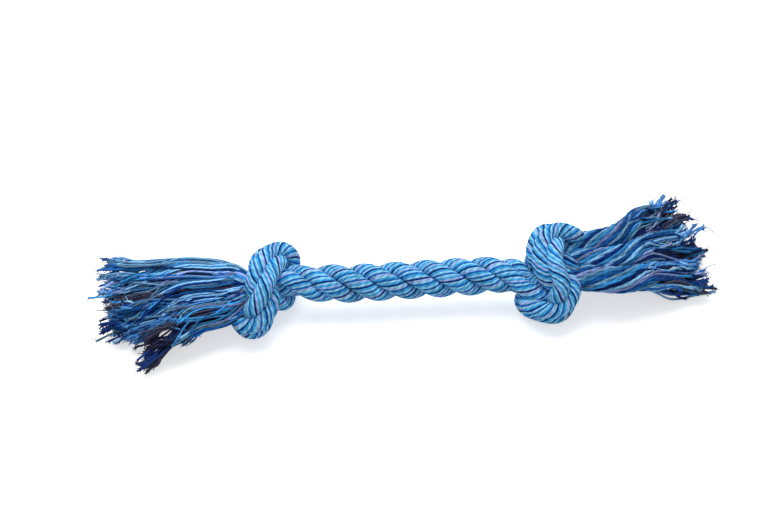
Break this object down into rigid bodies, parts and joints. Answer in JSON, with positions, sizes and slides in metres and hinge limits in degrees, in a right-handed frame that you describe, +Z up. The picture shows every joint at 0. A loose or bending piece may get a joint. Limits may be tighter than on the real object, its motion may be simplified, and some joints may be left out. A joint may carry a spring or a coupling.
{
  "type": "rope dog toy",
  "caption": "Laid cotton rope tug toy: a tight overhand knot near each end, and strands unlaid into fringed yarn tails that lift, on a rope that bends sideways and up.",
  "frame": {"origin": "on the ground under the middle of the toy's outer box", "axes": "+X along the rope towards the right knot, +Y away from the viewer, +Z up"},
  "size_m": [0.3954, 0.1004, 0.0531],
  "materials": {
    "strand_a_cotton": "dyed cotton yarn, matt and slightly fuzzy",
    "strand_b_cotton": "dyed cotton yarn, matt and slightly fuzzy",
    "strand_c_cotton": "dyed cotton yarn, matt and slightly fuzzy",
    "tail_yarn_1": "dyed cotton yarn, matt and slightly fuzzy",
    "tail_yarn_2": "dyed cotton yarn, matt and slightly fuzzy",
    "tail_yarn_3": "dyed cotton yarn, matt and slightly fuzzy"
  },
  "bodies": {
    "middle": {"middle_strand_a": "strand_a_cotton", "middle_strand_b": "strand_b_cotton", "middle_strand_c": "strand_c_cotton"},
    "left_bend": {"left_bend_strand_a": "strand_a_cotton", "left_bend_strand_b": "strand_b_cotton", "left_bend_strand_c": "strand_c_cotton"},
    "left_knot": {"left_knot_strand_a": "strand_a_cotton", "left_knot_strand_b": "strand_b_cotton", "left_knot_strand_c": "strand_c_cotton"},
    "left_front_tail": {"left_front_tail_lock_1": "tail_yarn_1", "left_front_tail_lock_2": "tail_yarn_2", "left_front_tail_lock_3": "tail_yarn_3"},
    "left_middle_tail": {"left_middle_tail_lock_1": "tail_yarn_1", "left_middle_tail_lock_2": "tail_yarn_2", "left_middle_tail_lock_3": "tail_yarn_3"},
    "left_back_tail": {"left_back_tail_lock_1": "tail_yarn_1", "left_back_tail_lock_2": "tail_yarn_2", "left_back_tail_lock_3": "tail_yarn_3"},
    "right_bend": {"right_bend_strand_a": "strand_a_cotton", "right_bend_strand_b": "strand_b_cotton", "right_bend_strand_c": "strand_c_cotton"},
    "right_knot": {"right_knot_strand_a": "strand_a_cotton", "right_knot_strand_b": "strand_b_cotton", "right_knot_strand_c": "strand_c_cotton"},
    "right_front_tail": {"right_front_tail_lock_1": "tail_yarn_1", "right_front_tail_lock_2": "tail_yarn_2", "right_front_tail_lock_3": "tail_yarn_3"},
    "right_middle_tail": {"right_middle_tail_lock_1": "tail_yarn_1", "right_middle_tail_lock_2": "tail_yarn_2", "right_middle_tail_lock_3": "tail_yarn_3"},
    "right_back_tail": {"right_back_tail_lock_1": "tail_yarn_1", "right_back_tail_lock_2": "tail_yarn_2", "right_back_tail_lock_3": "tail_yarn_3"}
  },
  "joints": [
    {"name": "left_sideways_bend", "type": "hinge", "parent": "middle", "child": "left_bend", "pos_m": [-0.01756, -0.01042, 0.02514], "axis": [0, 0, 1], "range_deg": [-60, 60], "stiffness_Nm_per_rad": 0.4, "deforming": ["left_bend_strand_a", "left_bend_strand_b", "left_bend_strand_c"]},
    {"name": "left_lifting_bend", "type": "hinge", "parent": "left_bend", "child": "left_knot", "pos_m": [-0.04156, -0.01042, 0.02484], "axis": [0, 1, 0], "range_deg": [-60, 60], "stiffness_Nm_per_rad": 0.4, "deforming": ["left_bend_strand_a", "left_bend_strand_b", "left_bend_strand_c"]},
    {"name": "left_front_tail_lift", "type": "hinge", "parent": "left_knot", "child": "left_front_tail", "pos_m": [-0.12706, -0.02921, 0.0245], "axis": [-0.3256, 0.9455, 0], "range_deg": [-45, 75]},
    {"name": "left_middle_tail_lift", "type": "hinge", "parent": "left_knot", "child": "left_middle_tail", "pos_m": [-0.12706, -0.01271, 0.0245], "axis": [-0.1045, 0.9945, 0], "range_deg": [-45, 75]},
    {"name": "left_back_tail_lift", "type": "hinge", "parent": "left_knot", "child": "left_back_tail", "pos_m": [-0.12706, 0.00379, 0.0245], "axis": [0.1392, 0.9903, 0], "range_deg": [-45, 75]},
    {"name": "right_sideways_bend", "type": "hinge", "parent": "middle", "child": "right_bend", "pos_m": [0.02644, -0.01042, 0.02568], "axis": [0, 0, 1], "range_deg": [-60, 60], "stiffness_Nm_per_rad": 0.4, "deforming": ["right_bend_strand_a", "right_bend_strand_b", "right_bend_strand_c"]},
    {"name": "right_lifting_bend", "type": "hinge", "parent": "right_bend", "child": "right_knot", "pos_m": [0.05044, -0.01042, 0.02597], "axis": [0, -1, 0], "range_deg": [-60, 60], "stiffness_Nm_per_rad": 0.4, "deforming": ["right_bend_strand_a", "right_bend_strand_b", "right_bend_strand_c"]},
    {"name": "right_front_tail_lift", "type": "hinge", "parent": "right_knot", "child": "right_front_tail", "pos_m": [0.13594, -0.02373, 0.03106], "axis": [0.309, -0.9511, 0], "range_deg": [-45, 75]},
    {"name": "right_middle_tail_lift", "type": "hinge", "parent": "right_knot", "child": "right_middle_tail", "pos_m": [0.13594, -0.00723, 0.03106], "axis": [0.454, -0.891, 0], "range_deg": [-45, 75]},
    {"name": "right_back_tail_lift", "type": "hinge", "parent": "right_knot", "child": "right_back_tail", "pos_m": [0.13594, 0.00927, 0.03106], "axis": [0.5878, -0.809, 0], "range_deg": [-45, 75]}
  ]
}
